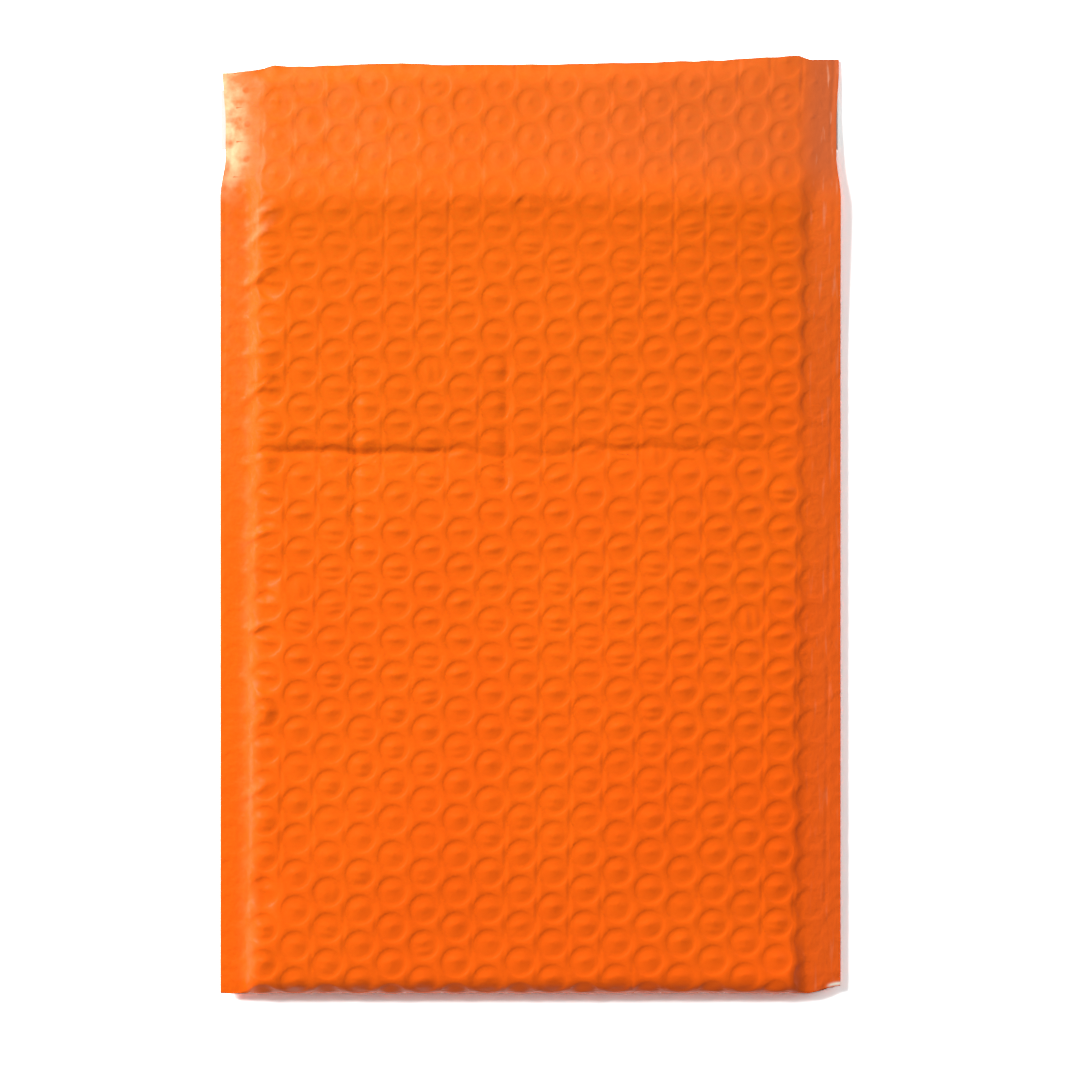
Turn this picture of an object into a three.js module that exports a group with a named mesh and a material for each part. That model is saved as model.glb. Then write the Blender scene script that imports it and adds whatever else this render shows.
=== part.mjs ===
// Padded poly mailer, empty and lying flat with its flap open.
// One web of bubble-lined film is folded at the bottom and welded along both sides, and the upper
// wall runs on past the mouth as the flap. The flap's inner face carries a self-seal strip under a
// peel-off liner.
// Millimetres, +Z up, +Y from the bottom fold to the flap, origin on the table at mid-box.

import * as THREE from 'three';

const { clamp, lerp, smoothstep } = THREE.MathUtils;

// Pouch
const POUCH_WIDTH = 180; // across both side welds
const POUCH_LENGTH = 230; // bottom fold to mouth
const WELD_WIDTH = 8.5; // flat margin on each side
const WELD_THICKNESS = 0.6; // two crushed walls melted together
const WALL = 3.2; // film with its bubbles, not crushed
const POCKET_GAP = 1; // room between the two walls of the empty pocket, before the crown
const SHOULDER_WIDTH = 8; // from the weld to the full thickness
const CROWN = 0.8; // extra rise of the upper wall at mid-width
const CROWN_RUN = 40; // length over which the crown rises from the fold

// Flap
const FLAP_LENGTH = 40;
const FLAP_SKEW = 3.4; // slanting cut, right end further out than the left
const FLAP_INSET = 1.3; // each side edge draws in beyond the end of its weld
const FLAP_INSET_RUN = 12; // length over which it draws in
const ARCH_RUN = 12; // length over which the arch of the mouth flattens out
const TIP_THICKNESS = 1.4; // bubbles pressed flat along the cut
const TIP_LIFT = 0.5; // inner face at the tip, above the table

// Bubbles, in columns that are staggered by half a row
const COLUMN_PITCH = 9.3;
const ROW_PITCH = 10.35;
const MOAT_RADIUS = 3.9; // lowest ring of a bubble
const MOAT_DEPTH = 0.6;
const DOME_RISE = 0.1; // middle of a bubble, above the land between bubbles
const DIMPLE_DEPTH = 0.6; // on the lower wall
const EDGE_LAND = 0.8; // least land between the bubbles and a weld or a cut

// Crease left across the upper wall by an earlier fold
const CREASE_FROM_FOLD = 157;
const CREASE_DEPTH = 0.5;
const CREASE_HALF_WIDTH = 5;

// Closure on the flap's inner face
const LINER_WIDTH = 17.5;
const LINER_THICKNESS = 0.2;
const LINER_CHAMFER = 0.05;
const LINER_LEFT_OVERHANG = 1.2; // past the left edge of the flap
const LINER_RIGHT_OVERHANG = 0.5; // past the right edge
const LINER_FROM_TIP = 7.5; // at mid-width
const ADHESIVE_WIDTH = 12;
const ADHESIVE_THICKNESS = 0.25;
const ADHESIVE_CHAMFER = 0.12;
const ADHESIVE_END_MARGIN = 4; // short of each side edge of the flap
const FIT_GAP = 0.15; // between faces that lie on each other

// Steps along the smooth inner faces
const POCKET_STEPS = 8;
const ARCH_STEPS = 3;

// Places that follow from the sizes
const WELD_HEIGHT = WALL + POCKET_GAP / 2;
const EDGE_X = POUCH_WIDTH / 2;
const WELD_X = EDGE_X - WELD_WIDTH;
const FLAP_SLOPE = Math.asin((WELD_HEIGHT - TIP_LIFT) / FLAP_LENGTH);
const FLAP_EDGE_X = EDGE_X - FLAP_INSET;
const LONGEST_FLAP = FLAP_LENGTH + (FLAP_SKEW * FLAP_EDGE_X) / POUCH_WIDTH;
const REACH = POUCH_LENGTH + LONGEST_FLAP * Math.cos(FLAP_SLOPE);
const FOLD_Y = -REACH / 2;
const MOUTH_Y = FOLD_Y + POUCH_LENGTH;
const CREASE_Y = FOLD_Y + CREASE_FROM_FOLD;

// Distances along the web, from the mouth of the lower wall round the fold to the tip of the flap
const FOLD_RADIUS = WELD_HEIGHT;
const FOLD_START = POUCH_LENGTH - FOLD_RADIUS;
const FOLD_MIDDLE = FOLD_START + (Math.PI * FOLD_RADIUS) / 2;
const FOLD_END = FOLD_START + Math.PI * FOLD_RADIUS;
const MOUTH = FOLD_END + FOLD_START;

// Bubble counts that fit the web, with one half row on the bottom fold
const HALF_ROW = ROW_PITCH / 2;
const CORNER_OUT = COLUMN_PITCH / 2 + ROW_PITCH ** 2 / (8 * COLUMN_PITCH);
const CORNER_IN = COLUMN_PITCH - CORNER_OUT;
const LATTICE_ROOM = 2 * (WELD_X - EDGE_LAND - CORNER_OUT) + COLUMN_PITCH;
const COLUMNS = Math.floor(LATTICE_ROOM / COLUMN_PITCH);
const HALF_ROWS_BELOW = Math.floor((FOLD_MIDDLE - EDGE_LAND) / HALF_ROW);
const SHORTEST_WEB = MOUTH + FLAP_LENGTH - FLAP_SKEW / 2;
const HALF_ROWS_ABOVE = Math.floor((SHORTEST_WEB - EDGE_LAND - FOLD_MIDDLE) / HALF_ROW);
const HALF_ROWS = HALF_ROWS_BELOW + HALF_ROWS_ABOVE;

// How far the walls have parted at x: 0 on the welds, 1 past the shoulders
function swell(x) {
  const inward = (WELD_X - Math.abs(x)) / SHOULDER_WIDTH;
  return Math.sin((clamp(inward, 0, 1) * Math.PI) / 2);
}

function wallAt(x) {
  return lerp(WELD_THICKNESS / 2, WALL, swell(x));
}

// Inner faces of the pocket, measured from the plane of the welds
function gapBelow(x) {
  return (swell(x) * POCKET_GAP) / 2;
}

function gapAbove(x, y) {
  const across = 1 - Math.min(1, Math.abs(x) / WELD_X) ** 2;
  const along = smoothstep(y, FOLD_Y + FOLD_RADIUS, FOLD_Y + FOLD_RADIUS + CROWN_RUN);
  return gapBelow(x) + CROWN * across * along;
}

function creaseAt(y) {
  return CREASE_DEPTH * Math.max(0, 1 - Math.abs(y - CREASE_Y) / CREASE_HALF_WIDTH);
}

function flapInnerFace(x, y) {
  const arch = gapAbove(x, MOUTH_Y) * (1 - smoothstep(y, MOUTH_Y, MOUTH_Y + ARCH_RUN));
  return WELD_HEIGHT - (y - MOUTH_Y) * Math.tan(FLAP_SLOPE) + arch;
}

function flapY(along) {
  return MOUTH_Y + (along - MOUTH) * Math.cos(FLAP_SLOPE);
}

function edgeX(along) {
  return EDGE_X - FLAP_INSET * smoothstep(along, MOUTH, MOUTH + FLAP_INSET_RUN);
}

function tipAlong(x) {
  return MOUTH + FLAP_LENGTH + (FLAP_SKEW * x) / POUCH_WIDTH;
}

// Outer face of the web at x and a distance along it, with relief measured outwards
function outerPoint(x, along, relief = 0) {
  const bulge = relief * swell(x);
  const below = gapBelow(x) + wallAt(x) + bulge;
  if (along <= FOLD_START) {
    return new THREE.Vector3(x, MOUTH_Y - along, WELD_HEIGHT - below);
  }
  if (along < FOLD_END) {
    const turn = (along - FOLD_START) / FOLD_RADIUS;
    const y = FOLD_Y + FOLD_RADIUS - (FOLD_RADIUS + bulge) * Math.sin(turn);
    return new THREE.Vector3(x, y, WELD_HEIGHT - below * Math.cos(turn));
  }
  if (along <= MOUTH) {
    const y = MOUTH_Y - (MOUTH - along);
    const above = gapAbove(x, y) + wallAt(x) + bulge - creaseAt(y) * swell(x);
    return new THREE.Vector3(x, y, WELD_HEIGHT + above);
  }
  const y = flapY(along);
  return new THREE.Vector3(x, y, flapInnerFace(x, y) + wallAt(x) + bulge);
}

function tipPoint(x) {
  const y = flapY(tipAlong(x));
  return new THREE.Vector3(x, y, flapInnerFace(x, y) + Math.min(wallAt(x), TIP_THICKNESS));
}

// A closed skin, gathered point by point and triangle by triangle
class Skin {
  points = [];
  along = [];
  triangles = [];

  add(point, along = 0) {
    this.along.push(along);
    return this.points.push(point) - 1;
  }

  face(a, b, c) {
    if (a !== b && b !== c && c !== a) {
      this.triangles.push(a, b, c);
    }
  }

  // Fills a loop of points around a middle point
  fan(middle, loop) {
    loop.forEach((corner, i) => this.face(middle, corner, loop[(i + 1) % loop.length]));
  }

  // Fills the band between two loops of as many points
  band(inner, outer) {
    inner.forEach((corner, i) => {
      const next = (i + 1) % inner.length;
      this.face(corner, outer[i], outer[next]);
      this.face(corner, outer[next], inner[next]);
    });
  }

  // Fills the strip between two chains of points that run the same way, left and right
  zip(left, right, key) {
    let i = 0;
    let j = 0;
    while (i < left.length - 1 || j < right.length - 1) {
      const leftNext = i < left.length - 1 ? key(left[i + 1]) : Infinity;
      const rightNext = j < right.length - 1 ? key(right[j + 1]) : Infinity;
      if (leftNext <= rightNext) {
        this.face(left[i], right[j], left[i + 1]);
        i += 1;
      } else {
        this.face(left[i], right[j], right[j + 1]);
        j += 1;
      }
    }
  }

  geometry() {
    const geometry = new THREE.BufferGeometry().setFromPoints(this.points);
    geometry.setIndex(this.triangles);
    geometry.computeVertexNormals();
    return geometry;
  }
}

function pouchGeometry() {
  const skin = new Skin();
  const byX = (v) => skin.points[v].x;
  const byY = (v) => skin.points[v].y;
  const byAlong = (v) => skin.along[v];
  const addOuter = (x, along, relief) => skin.add(outerPoint(x, along, relief), along);
  const addTip = (x) => skin.add(tipPoint(x), tipAlong(x));
  const rowAlong = (k) => FOLD_MIDDLE + (k - HALF_ROWS_BELOW) * HALF_ROW;
  const columnX = (c) => (c - (COLUMNS - 1) / 2) * COLUMN_PITCH;

  // A rib is the zigzag of land between two columns, from the mouth to the tip
  const addRib = (c) => {
    const xAt = (k) => columnX(c - 1) + ((k + c) % 2 === 0 ? CORNER_OUT : CORNER_IN);
    const rib = [addOuter(xAt(0), 0)];
    for (let k = 0; k <= HALF_ROWS; k += 1) {
      rib.push(addOuter(xAt(k), rowAlong(k)));
    }
    rib.push(addTip(xAt(HALF_ROWS)));
    return rib;
  };

  // A bubble fills the hexagon of land round its centre
  const addBubble = (c, k, land) => {
    const x = columnX(c);
    const along = rowAlong(k);
    if (k < HALF_ROWS_BELOW) {
      skin.fan(addOuter(x, along, -DIMPLE_DEPTH), land);
      return;
    }
    const moat = land.map((corner) => {
      const across = byX(corner) - x;
      const up = byAlong(corner) - along;
      const share = MOAT_RADIUS / Math.hypot(across, up);
      return addOuter(x + across * share, along + up * share, -MOAT_DEPTH);
    });
    skin.band(moat, land);
    skin.fan(addOuter(x, along, DOME_RISE), moat);
  };

  // A column of bubbles, closed at both ends by plain land
  const addColumn = (c, left, right) => {
    const quad = (i) => skin.zip(left.slice(i, i + 2), right.slice(i, i + 2), byAlong);
    quad(0);
    quad(HALF_ROWS + 1);
    const firstRow = c % 2 === 0 ? 1 : 2;
    let k = firstRow;
    for (; k < HALF_ROWS; k += 2) {
      const land = [right[k], right[k + 1], right[k + 2], left[k + 2], left[k + 1], left[k]];
      addBubble(c, k, land);
    }
    if (firstRow === 2) {
      quad(1);
    }
    if (k === HALF_ROWS) {
      quad(HALF_ROWS);
    }
  };

  // A straight chain along a weld or an edge, with a point on every row, the mouth and the tip
  const stations = [0, MOUTH];
  for (let k = HALF_ROWS_BELOW % 2; k <= HALF_ROWS; k += 2) {
    stations.push(rowAlong(k));
  }
  stations.sort((a, b) => a - b);
  const addChain = (xAt, side) => {
    const chain = stations.map((along) => addOuter(side * xAt(along), along));
    chain.push(addTip(side * xAt(tipAlong(side * FLAP_EDGE_X))));
    return chain;
  };

  const leftEdge = addChain(edgeX, -1);
  const leftWeld = addChain(() => WELD_X, -1);
  const ribs = Array.from({ length: COLUMNS + 1 }, (_, c) => addRib(c));
  const rightWeld = addChain(() => WELD_X, 1);
  const rightEdge = addChain(edgeX, 1);
  skin.zip(leftEdge, leftWeld, byAlong);
  skin.zip(leftWeld, ribs[0], byAlong);
  for (let c = 0; c < COLUMNS; c += 1) {
    addColumn(c, ribs[c], ribs[c + 1]);
  }
  skin.zip(ribs[COLUMNS], rightWeld, byAlong);
  skin.zip(rightWeld, rightEdge, byAlong);

  // Inner faces of the pocket, which meet on the welds and in the bottom fold
  const innerRight = [WELD_X / 2, WELD_X - SHOULDER_WIDTH, WELD_X - SHOULDER_WIDTH / 2];
  const innerXs = [...innerRight.map((x) => -x).reverse(), 0, ...innerRight];
  const innerFoldY = FOLD_Y + WALL;
  const openY = innerFoldY + POCKET_GAP;
  const lowerChains = [];
  const upperChains = [];
  for (let i = 0; i <= POCKET_STEPS; i += 1) {
    const y = lerp(MOUTH_Y, openY, i / POCKET_STEPS);
    const ends = [-WELD_X, WELD_X].map((x) => skin.add(new THREE.Vector3(x, y, WELD_HEIGHT)));
    const addInner = (x, z) => skin.add(new THREE.Vector3(x, y, z));
    const lower = innerXs.map((x) => addInner(x, WELD_HEIGHT - gapBelow(x)));
    const upper = innerXs.map((x) => addInner(x, WELD_HEIGHT + gapAbove(x, y)));
    lowerChains.push([ends[0], ...lower, ends[1]]);
    upperChains.push([ends[0], ...upper, ends[1]]);
  }
  const foldXs = [-WELD_X, ...innerXs, WELD_X];
  const innerFold = foldXs.map((x) => skin.add(new THREE.Vector3(x, innerFoldY, WELD_HEIGHT)));
  lowerChains.push(innerFold);
  upperChains.push(innerFold);
  for (let i = 0; i <= POCKET_STEPS; i += 1) {
    skin.zip(lowerChains[i], lowerChains[i + 1], byX);
    skin.zip(upperChains[i + 1], upperChains[i], byX);
  }

  // Mouth: the cut edge of the lower wall, and the ends of the welds under the flap
  const [weldEndLeft, weldEndRight] = [-EDGE_X, EDGE_X].map((x) =>
    skin.add(new THREE.Vector3(x, MOUTH_Y, WELD_HEIGHT)),
  );
  const outerMouth = [leftEdge, leftWeld, ...ribs, rightWeld, rightEdge].map((chain) => chain[0]);
  const lip = [weldEndLeft, ...lowerChains[0], weldEndRight];
  skin.zip(outerMouth, lip, byX);

  // Inner face of the flap, from the mouth to the tip
  const flapChains = [[weldEndLeft, ...upperChains[0], weldEndRight]];
  for (let i = 1; i <= ARCH_STEPS; i += 1) {
    const along = MOUTH + (ARCH_RUN * i) / ARCH_STEPS / Math.cos(FLAP_SLOPE);
    const y = flapY(along);
    const xs = [-edgeX(along), ...foldXs, edgeX(along)];
    flapChains.push(xs.map((x) => skin.add(new THREE.Vector3(x, y, flapInnerFace(x, y)))));
  }
  const tipXs = [byX(leftEdge.at(-1)), ...foldXs, byX(rightEdge.at(-1))];
  const innerTip = tipXs.map((x) => {
    const y = flapY(tipAlong(x));
    return skin.add(new THREE.Vector3(x, y, flapInnerFace(x, y)));
  });
  flapChains.push(innerTip);
  for (let i = 0; i < flapChains.length - 1; i += 1) {
    skin.zip(flapChains[i], flapChains[i + 1], byX);
  }
  const outerTip = [leftEdge, leftWeld, ...ribs, rightWeld, rightEdge].map((chain) => chain.at(-1));
  skin.zip(innerTip, outerTip, byX);

  // Side edges of the welds and of the flap
  const foldAt = stations.indexOf(FOLD_MIDDLE);
  const mouthAt = stations.indexOf(MOUTH);
  const lowerEdge = (edge, weldEnd) => [...edge.slice(0, foldAt + 1).reverse(), weldEnd];
  const upperEdge = (edge) => edge.slice(foldAt, mouthAt + 1);
  skin.zip(lowerEdge(leftEdge, weldEndLeft), upperEdge(leftEdge), byY);
  skin.zip(upperEdge(rightEdge), lowerEdge(rightEdge, weldEndRight), byY);
  const innerLeft = flapChains.map((chain) => chain[0]);
  const innerRightEdge = flapChains.map((chain) => chain.at(-1));
  skin.zip(innerLeft, leftEdge.slice(mouthAt), byY);
  skin.zip(rightEdge.slice(mouthAt), innerRightEdge, byY);
  return skin.geometry();
}

// A strip that runs across the flap: a section of depth by width, drawn out to a length
function stripGeometry(length, width, thickness, chamfer) {
  const section = new THREE.Shape();
  section.moveTo(0, 0);
  section.lineTo(thickness - chamfer, 0);
  section.lineTo(thickness, chamfer);
  section.lineTo(thickness, width - chamfer);
  section.lineTo(thickness - chamfer, width);
  section.lineTo(0, width);
  section.closePath();
  const strip = new THREE.ExtrudeGeometry(section, { depth: length, bevelEnabled: false });
  strip.rotateY(Math.PI / 2);
  strip.translate(-length / 2, 0, 0);
  return strip;
}

const film = new THREE.MeshStandardMaterial({ color: '#f86c16', roughness: 0.45, metalness: 0 });
const hotMelt = new THREE.MeshStandardMaterial({ color: '#e6dcbf', roughness: 0.25, metalness: 0 });
const paper = new THREE.MeshStandardMaterial({ color: '#f5f4f0', roughness: 0.5, metalness: 0 });

const pouch = new THREE.Mesh(pouchGeometry(), film);
pouch.name = 'pouch';

// The flap's inner face is the plane z = 0 of this group, with y running from the mouth to the tip
const flapFace = new THREE.Group();
flapFace.position.set(0, MOUTH_Y, WELD_HEIGHT);
flapFace.rotation.x = -FLAP_SLOPE;

const flapWidth = 2 * FLAP_EDGE_X;
const linerLength = flapWidth + LINER_LEFT_OVERHANG + LINER_RIGHT_OVERHANG;
const linerX = (LINER_RIGHT_OVERHANG - LINER_LEFT_OVERHANG) / 2;
const linerY = FLAP_LENGTH - LINER_FROM_TIP - LINER_WIDTH;
const adhesiveLength = flapWidth - 2 * ADHESIVE_END_MARGIN;
const adhesiveY = linerY + (LINER_WIDTH - ADHESIVE_WIDTH) / 2;

const adhesive = new THREE.Mesh(
  stripGeometry(adhesiveLength, ADHESIVE_WIDTH, ADHESIVE_THICKNESS, ADHESIVE_CHAMFER),
  hotMelt,
);
adhesive.name = 'adhesive_strip';
adhesive.position.set(0, adhesiveY, -FIT_GAP);

const liner = new THREE.Mesh(
  stripGeometry(linerLength, LINER_WIDTH, LINER_THICKNESS, LINER_CHAMFER),
  paper,
);
liner.name = 'release_liner';
liner.position.set(linerX, linerY, -FIT_GAP - ADHESIVE_THICKNESS - FIT_GAP);

flapFace.add(adhesive, liner);

const mailer = new THREE.Group();
mailer.add(pouch, flapFace);

export default mailer;
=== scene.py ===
import math

import bmesh
import bpy
import numpy as np
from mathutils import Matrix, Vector, geometry


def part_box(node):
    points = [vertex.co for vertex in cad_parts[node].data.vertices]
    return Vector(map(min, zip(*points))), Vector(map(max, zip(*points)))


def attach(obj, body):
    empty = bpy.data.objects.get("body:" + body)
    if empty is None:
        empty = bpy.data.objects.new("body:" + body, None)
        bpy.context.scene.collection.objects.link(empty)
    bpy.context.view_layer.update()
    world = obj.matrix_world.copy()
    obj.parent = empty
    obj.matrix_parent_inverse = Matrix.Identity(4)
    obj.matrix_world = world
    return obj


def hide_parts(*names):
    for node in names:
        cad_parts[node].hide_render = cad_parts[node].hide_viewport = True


# Looks of an empty padded poly mailer that lies flat with its flap open.
# The web is laid out flat first: x across it, s along it from the mouth of the lower wall, round
# the bottom fold, to the tip of the flap. Then it is formed into the mailer. Lengths are in
# millimetres, and times MM where Blender takes metres.

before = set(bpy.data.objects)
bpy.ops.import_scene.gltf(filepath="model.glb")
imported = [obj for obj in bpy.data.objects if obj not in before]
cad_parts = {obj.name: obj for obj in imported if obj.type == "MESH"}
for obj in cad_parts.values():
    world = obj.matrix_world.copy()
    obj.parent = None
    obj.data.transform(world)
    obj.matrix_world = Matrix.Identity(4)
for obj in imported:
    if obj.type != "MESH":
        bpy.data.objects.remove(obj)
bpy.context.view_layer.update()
pouch_low, pouch_high = (np.array(corner) * 1000 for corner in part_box("pouch"))

MM = 0.001
SEED = 7
DRIFT_CELLS = 64  # after so many cells random waves repeat

# Pouch and flap, as in the part's source
EDGE_X = pouch_high[0]  # side edges of the welds
POUCH_LENGTH = 230.0  # bottom fold to mouth
WELD_WIDTH = 8.5
WELD_THICKNESS = 0.6
WALL = 3.2
POCKET_GAP = 1.0
CROWN = 0.8
CROWN_RUN = 40.0
SOURCE_DOME_RISE = 0.1
FLAP_LENGTH = 40.0
FLAP_SKEW = 3.4
ARCH_RUN = 12.0
TIP_THICKNESS = 1.4
TIP_LIFT = 0.5

# Shoulders, sides and cut, which are finer here than in the source
SHOULDER_LEFT = 4.4  # run from the weld up to the full wall
SHOULDER_RIGHT = 4.5
FOOT_LEFT = 83.8  # where the shoulders leave the welds, at the fold
FOOT_RIGHT = 79.8
FOOT_LEAN_LEFT = -0.0064  # how they lean on their way to the mouth
FOOT_LEAN_RIGHT = 0.0106
FLAP_FOOT = 87.5  # on the flap the shoulders are longer and softer
FLAP_SHOULDER = 10.0
LEFT_FLATTER = 0.3  # share of its rise that the upper wall loses towards its sides
LEFT_FLATTER_RUN = 15.0
RIGHT_FLATTER = 0.74
RIGHT_FLATTER_RUN = 58.0
FLATTER_START_RUN = 20.0  # from the bottom fold on
WELD_SLIT = 0.02  # from the middle of the weld to each wall, which leaves the two apart
TIP_TAPER = 5.0  # length over which the bubbles are pressed flat to the cut
FLAP_INSET_LEFT = 1.5
FLAP_INSET_RIGHT = 1.2

# Bubble lattice
COLUMN_PITCH = 9.3
ROW_PITCH = 10.37
COLUMN_LEAN = 0.0131  # the columns lean to the right towards the flap
ROW_RISE = 0.0094  # the rows rise to the right
LATTICE_X = -2.9  # one bubble centre near the middle of the web
LATTICE_FROM_FOLD = 19.9
COLUMNS = 25
ROWS = 55
BUBBLE_RINGS = (1.4, 2.9, 4.05, 4.38, 4.7)  # radii of the rings of one bubble
STEP_DEPTH = 0.205  # from the land down to the moat round each dome
STEP_INNER = 4.05
STEP_OUTER = 4.7
DOME_RISE = 0.28  # from the moat
DOME_RADIUS = 3.8
DOME_LEAST = 0.45  # times the rise, for the lowest dome
DOME_SPREAD = 1.2  # what the highest has more
DOME_SHIFT = 0.8  # how far domes stand off their centres, from side to side
DOME_WIDER = 0.25  # how much wider across a dome may be, as a share
DOME_WORN = 0.47  # share of the rise that is lost on the worn part of the upper wall
DOME_WORN_FROM = (75.0, 105.0)  # from the fold
FLAP_DOME_LOSS = 0.15
FLAP_DOME_LONGER = 0.35
FLAP_STEP_LOSS = 0.4  # above and below each dome of the flap
RELIEF_ROLLS = (7.7, 13.9, 31.3, 19.1)  # what a bubble's chance is multiplied with for each draw
SIXTH_STEPS = 3  # segments in a sixth of a bubble
HEX_CORNER = COLUMN_PITCH / 1.5  # cells are regular hexagons until they are drawn to the row pitch
HEX_SIDE = HEX_CORNER * math.cos(math.pi / 6)

# Places that follow from the sizes
WELD_HEIGHT = WALL + POCKET_GAP / 2
WELD_X = EDGE_X - WELD_WIDTH
FLAP_SLOPE = math.asin((WELD_HEIGHT - TIP_LIFT) / FLAP_LENGTH)
FOLD_Y = pouch_low[1] + SOURCE_DOME_RISE
MOUTH_Y = FOLD_Y + POUCH_LENGTH
FOLD_RADIUS = WELD_HEIGHT
FOLD_START = POUCH_LENGTH - FOLD_RADIUS
FOLD_MIDDLE = FOLD_START + math.pi * FOLD_RADIUS / 2
FOLD_END = FOLD_START + math.pi * FOLD_RADIUS
MOUTH = FOLD_END + FOLD_START
TIP = MOUTH + FLAP_LENGTH
UPPER_START = MOUTH - POUCH_LENGTH  # what a distance from the fold adds up from on the upper wall

# Where along the web the wall's ways change to the flap's
SHOULDER_CHANGE = (MOUTH - 2, MOUTH + 12)
RELIEF_CHANGE = (MOUTH - 4, MOUTH + 8)
BUBBLE_CHANGE = (MOUTH - 6, MOUTH + 6)
TONE_CHANGE = (MOUTH - 4, MOUTH + 14)
DROOP_CHANGE = (MOUTH - 45, MOUTH + 2)
WAIST_IN = (MOUTH + 1, MOUTH + 13)  # where the flap draws in, and where it widens again
WAIST_OUT = (MOUTH + 22, TIP)
WAIST_RETURN = 0.7

# How far the bubbles are pressed flat, as a share, and where
WELD_RELIEF = 0.3  # what is left of them on the welds
WELD_RELIEF_SWELL = (0.15, 0.5)  # share of the wall's rise over which the rest comes back
CUT_RELIEF = 0.25  # what is left at the cut of the flap
FLAP_FLAT_FROM = 77.0  # the margins of the flap
FLAP_FLAT_RUN = 5.0
FLAP_PRESSED = 0.85
FLAP_FULLER = 0.1
MOUTH_PRESSED = 0.35
MOUTH_PRESSED_BELOW = 8.0
MOUTH_PRESSED_RUN = 12.0
CREASE_PRESSED = 0.55
CREASE_PRESSED_ABOVE = 1.0
CREASE_PRESSED_RUN = 2.8
LOWER_PRESSED = 0.35  # the lower wall lies on its bubbles
LOWER_PRESSED_RUN = 12.0

# Old crease across the upper wall
CREASE_FROM_FOLD = 156.1
CREASE_DEPTH = 0.88
CREASE_LINE = (  # place across, how far the line rises there, depth as a multiple of CREASE_DEPTH
    (-84, 0.3, 0.2), (-77, 0.5, 0.7), (-67, 0.9, 1.2), (-54, 0.7, 1.1), (-49, -0.2, 1.3),
    (-41, 0.6, 0.9), (-29, 0.3, 1.0), (-19, 1.1, 0.6), (-8, -1.0, 0.4), (4, -0.3, 0.4),
    (16, 1.4, 0.7), (70, 1.5, 0.7), (80, 1.8, 0.3),
)
CREASE_ABOVE = 2.8  # run of its upper side, which is the steeper one
CREASE_BELOW = 4.5
CREASE_WANDER_RUN = 9.0  # how far on each side the wall follows its wandering
CREASE_STAGGER = 0.5  # on its right half it steps from column to column
CREASE_STAGGER_FROM = (-20.0, 15.0)  # places across between which that begins
CREASE_SCORES = (-2.5, -0.8, 0.0, 0.9, 1.8)
CREASE_SCORE_REACH = 12.0
BEND_DEPTH = 1.1  # the whole wall bends a little at the crease
BEND_RUN = 26.0

# Lines where single columns were bent: place across, lower and upper end, depth
COLUMN_CREASES = ((-50.6, 120.0, 187.0, 0.36), (-7.1, 140.0, 192.0, 0.34))
COLUMN_CREASE_RUN = 1.4
COLUMN_CREASE_FADE = 12.0  # towards its ends
COLUMN_SCORES = (-1.0, 0.0, 1.0)
COLUMN_SCORE_REACH = 8.0
SNAP = 0.02  # a cut or score this close to a vert goes through it
SHORTEST_EDGE = 0.08
JOIN_WITHIN = 0.01

# Gathers beside the left weld: place from the fold, run inwards
GATHERS = ((58.0, 3.2), (77.0, 3.2), (105.7, 3.2), (122.8, 4.0), (132.1, 3.2), (153.9, 4.0), (173.6, 4.0),
           (185.2, 3.2), (206.0, 4.0))
GATHER_START = 2.5  # from the foot of the shoulder
GATHER_CLEAR = (0.8, 3.4)  # distance from its line over which a gather ends

# Slanting folds under the left end of the mouth: place from the fold, slope
MOUTH_FOLDS = ((223.4, 0.79), (217.6, 0.9))
MOUTH_FOLD_RISE = 0.34
MOUTH_FOLD_WIDTH = 1.3
MOUTH_FOLD_MIDDLE = 2.0  # inwards from where the gathers start
MOUTH_FOLD_RUN = 3.6

# Soft puckers beside the welds: height, how far in from the weld, reach
PUCKERS_LEFT = (1.25, 4.0, 4.5)
PUCKERS_RIGHT = (0.3, 4.5, 4.0)
PUCKER_SLANT = 0.5
PUCKER_CALM = 0.6  # share that is lost where the slanting folds are
PUCKER_CALM_BELOW = 9.0
PUCKER_CALM_RUN = 8.0

# Random waves: size of a cell across and along, seed
PUCKER_WAVES = (7.0, 5.2, 3)
SLACK_WAVES = (42.0, 38.0, 4)
SMALL_WAVES = (15.0, 17.0, 5)
CUT_WAVES = (4.0, 1.0, 7)
FLAP_WAVES = (30.0, 24.0, 8)
SLACK_RISE = 0.22
SMALL_RISE = 0.1
CUT_RISE = 0.12
FLAP_RISE = 0.2
FORMS_RUN = 15.0  # run over which the waves, folds and creases begin after the bottom fold

MOUTH_RIDGE = 1.2  # the cut edge of the lower wall holds the mouth up
MOUTH_RIDGE_RUN = 8.0
MOUTH_RIDGE_FLAP_RUN = 26.0
DROOP_LEFT = 0.6  # the outer edges of the welds hang towards the table
DROOP_RIGHT = 1.3
DROOP_LIP_RUN = 15.0
FOLD_ROLL = 0.42  # share of its height that the upper wall loses at the bottom fold
FOLD_ROLL_RUN = 6.0
FOLD_ROLL_POWER = 1.8
CORNER_CUT = 2.0  # the lower right corner is drawn up
CORNER_RUN = 10.0
CORNER_LINE_UP = 0.9  # from its edge to the painted glint
CORNER_LINE_FROM = (EDGE_X - 4.5, EDGE_X - 2.5)
TIP_CUT = (  # place across, how far the cut stands out there
    (-90, -0.9), (-82, -0.6), (-78, 0.0), (-75, 1.0), (-70, 0.45), (-55, 0.7), (-38, 0.9),
    (-26, 0.2), (-8, -0.1), (15, -0.3), (55, 0.0), (67, 0.5), (78.5, 1.0), (82, -0.3), (90, -0.3),
)
TIP_CUT_FROM = 15.0  # from the mouth

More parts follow.
